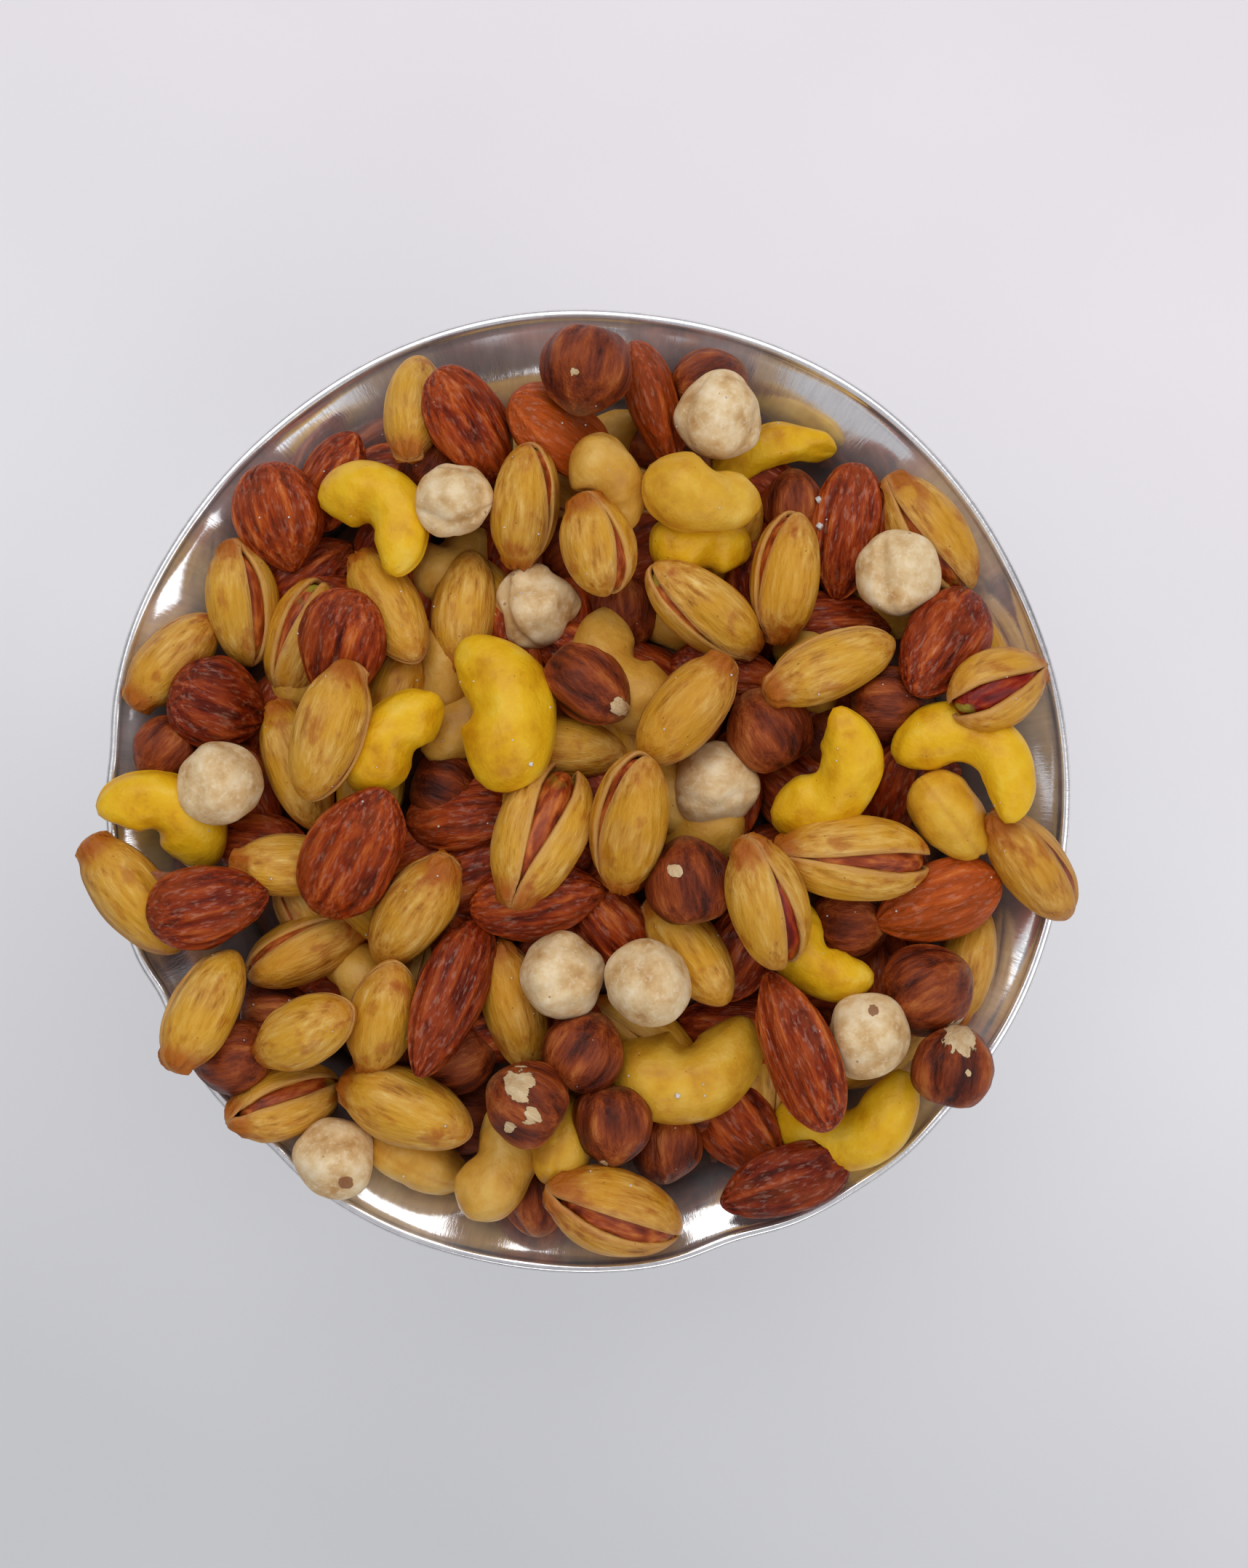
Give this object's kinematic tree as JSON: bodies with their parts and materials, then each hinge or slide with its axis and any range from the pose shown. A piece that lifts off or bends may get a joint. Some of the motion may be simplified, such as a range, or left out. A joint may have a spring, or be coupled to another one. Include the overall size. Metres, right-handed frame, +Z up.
{
  "type": "bowl of mixed nuts",
  "caption": "Thin polished steel bowl with a rolled, slightly dented rim, heaped with mixed whole nuts, some in split shells.",
  "frame": {"origin": "middle of the bowl's flat foot, on the surface that it stands on", "axes": "+Z up; +Y is the top and +X the right of the bowl seen from straight above"},
  "size_m": [0.1599, 0.1597, 0.0772],
  "materials": {
    "polished_steel": "polished sheet steel, rolled rim, fine rubbed marks",
    "mixed_nuts": "whole nuts, lightly oiled",
    "pistachio_shell": "saffron-tan split shell, fine veins, satin",
    "pistachio_kernel": "red-brown kernel skin",
    "almond_skin": "ridged red-brown skin, slightly oily",
    "cashew": "saffron yellow, smooth, slightly oily",
    "hazelnut_skin": "brown skin with paler fibres",
    "blanched_hazelnut": "cream, smooth, dimpled",
    "salt": "small white grains"
  },
  "bodies": {
    "root": {"bowl": "polished_steel", "nut_mix": "mixed_nuts"}
  },
  "joints": []
}
